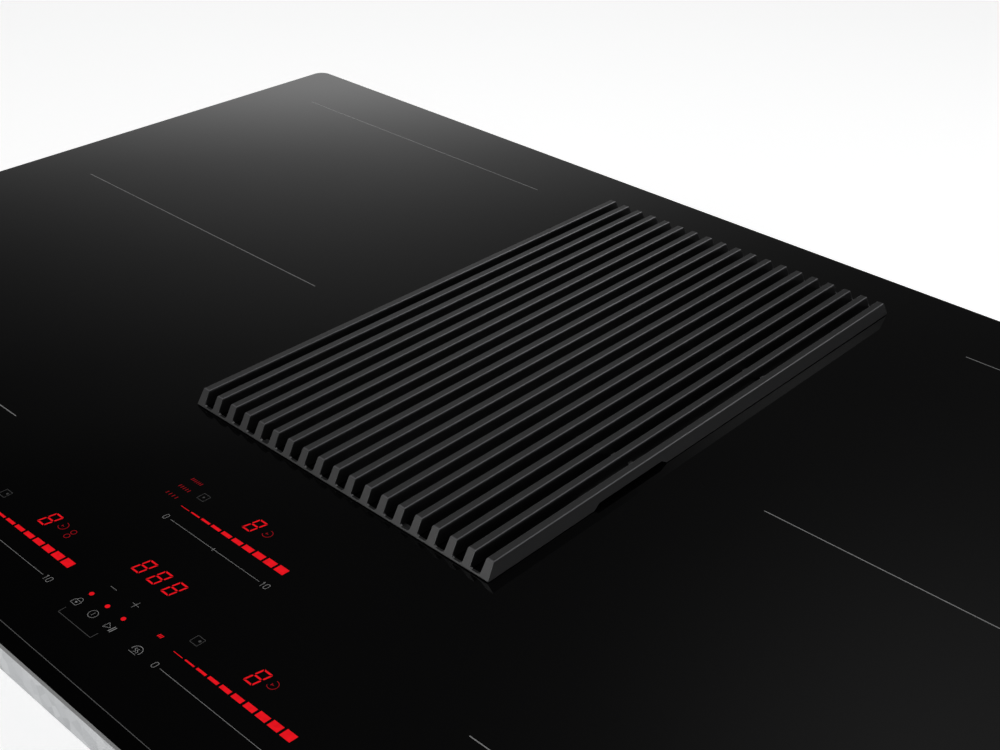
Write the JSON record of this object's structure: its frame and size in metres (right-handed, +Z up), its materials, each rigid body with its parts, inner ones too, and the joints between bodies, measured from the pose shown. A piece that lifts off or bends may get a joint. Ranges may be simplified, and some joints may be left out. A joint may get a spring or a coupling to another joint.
{
  "type": "downdraft induction cooktop",
  "caption": "Built-in black glass induction cooktop with a slatted downdraft grille in the middle, touch controls, removable filter and tray, and a blower that exhausts to a flat rear duct.",
  "frame": {"origin": "centre of the glass in plan, at the level of the worktop's top face that the seal rests on", "axes": "+X right, +Y to the back, +Z up, as the cook sees it"},
  "size_m": [0.83, 0.515, 0.2139],
  "materials": {
    "black_glass": "polished black glass-ceramic, high gloss",
    "seal_foam": "closed-cell foam tape, dull",
    "trim_black": "moulded, fine texture",
    "grille_coat": "die-cast alloy, satin dark grey coat",
    "foot_rubber": "silicone pads",
    "stainless": "brushed",
    "filter_aluminium": "pleated expanded mesh",
    "handle_black": "moulded",
    "tray_plastic": "moulded, washable",
    "duct_plastic": "moulded, fine texture",
    "galvanised": "zinc-coated sheet",
    "mica": "pressed mica sheet",
    "ferrite": "sintered, matt",
    "sensor_white": "glazed cup",
    "component_black": "moulded cases",
    "carrier_black": "moulded",
    "circuit_board": "lacquered laminate",
    "display_dark": "smoked lens",
    "terminal_plastic": "moulded",
    "gland_nylon": "moulded nylon",
    "wheel_plastic": "moulded, satin",
    "motor_steel": "turned",
    "motor_alloy": "die-cast",
    "stator_copper": "enamelled windings on steel stack",
    "isolator_rubber": "soft rubber",
    "litz_copper": "enamelled stranded wire",
    "former_plastic": "glass-filled, off-white",
    "sheet_aluminium": "rolled sheet",
    "fan_black": "moulded"
  },
  "bodies": {
    "root": {"blower_hanger": "galvanised", "board_standoffs": "former_plastic", "cable_gland": "gland_nylon", "coil_former_left_back": "former_plastic", "coil_former_left_front": "former_plastic", "coil_former_right_back": "former_plastic", "coil_former_right_front": "former_plastic", "coil_springs": "stainless", "coil_winding_left_back": "litz_copper", "coil_winding_left_front": "litz_copper", "coil_winding_right_back": "litz_copper", "coil_winding_right_front": "litz_copper", "control_board": "circuit_board", "control_carrier": "carrier_black", "cooling_fans": "fan_black", "display_modules": "display_dark", "ferrite_bars": "ferrite", "glass_plate": "black_glass", "heatsink_left": "sheet_aluminium", "heatsink_right": "sheet_aluminium", "insulation_sheets": "mica", "mains_filter_board": "circuit_board", "mains_filter_parts": "component_black", "motor_base": "motor_alloy", "motor_bearings": "motor_steel", "motor_isolators": "isolator_rubber", "motor_stator": "stator_copper", "opening_trim": "trim_black", "outlet_bracket": "galvanised", "outlet_spigot": "duct_plastic", "outlet_transition": "duct_plastic", "plenum_duct": "duct_plastic", "power_board_left": "circuit_board", "power_board_right": "circuit_board", "power_parts": "component_black", "scroll_cover": "duct_plastic", "scroll_housing": "duct_plastic", "suction_well": "duct_plastic", "support_plate_left": "sheet_aluminium", "support_plate_right": "sheet_aluminium", "temperature_sensors": "sensor_white", "terminal_block": "former_plastic", "terminal_box": "terminal_plastic", "terminal_cover": "terminal_plastic", "upper_casing": "galvanised", "worktop_clips": "stainless", "worktop_seal": "seal_foam"},
    "grille": {"grille": "grille_coat", "grille_feet": "foot_rubber"},
    "filter": {"filter_frame": "stainless", "filter_pleats": "filter_aluminium", "handle_bracket": "stainless"},
    "filter_handle": {"filter_handle": "handle_black"},
    "tray": {"collector_tray": "tray_plastic"},
    "wheel": {"impeller": "wheel_plastic", "motor_rotor": "motor_steel"},
    "fan_left": {"cooling_rotor_left": "fan_black"},
    "fan_right": {"cooling_rotor_right": "fan_black"}
  },
  "joints": [
    {"name": "tray_lift", "type": "slide", "parent": "root", "child": "tray", "axis": [0, 0, 1], "range_m": [0, 0.165]},
    {"name": "filter_lift", "type": "slide", "parent": "tray", "child": "filter", "axis": [0, 0, 1], "range_m": [0, 0.055]},
    {"name": "grille_lift", "type": "slide", "parent": "filter", "child": "grille", "axis": [0, 0, 1], "range_m": [0, 0.03]},
    {"name": "handle_swing", "type": "hinge", "parent": "filter", "child": "filter_handle", "pos_m": [0, 0.053, -0.027], "axis": [1, 0, 0], "range_deg": [0, 90]},
    {"name": "wheel_spin", "type": "hinge", "parent": "root", "child": "wheel", "pos_m": [0.2, 0, -0.15], "axis": [0, 0, 1], "continuous": true},
    {"name": "fan_left_spin", "type": "hinge", "parent": "root", "child": "fan_left", "pos_m": [-0.165, -0.184, -0.042], "axis": [0, 0, 1], "continuous": true},
    {"name": "fan_right_spin", "type": "hinge", "parent": "root", "child": "fan_right", "pos_m": [0.165, -0.184, -0.042], "axis": [0, 0, 1], "continuous": true}
  ]
}
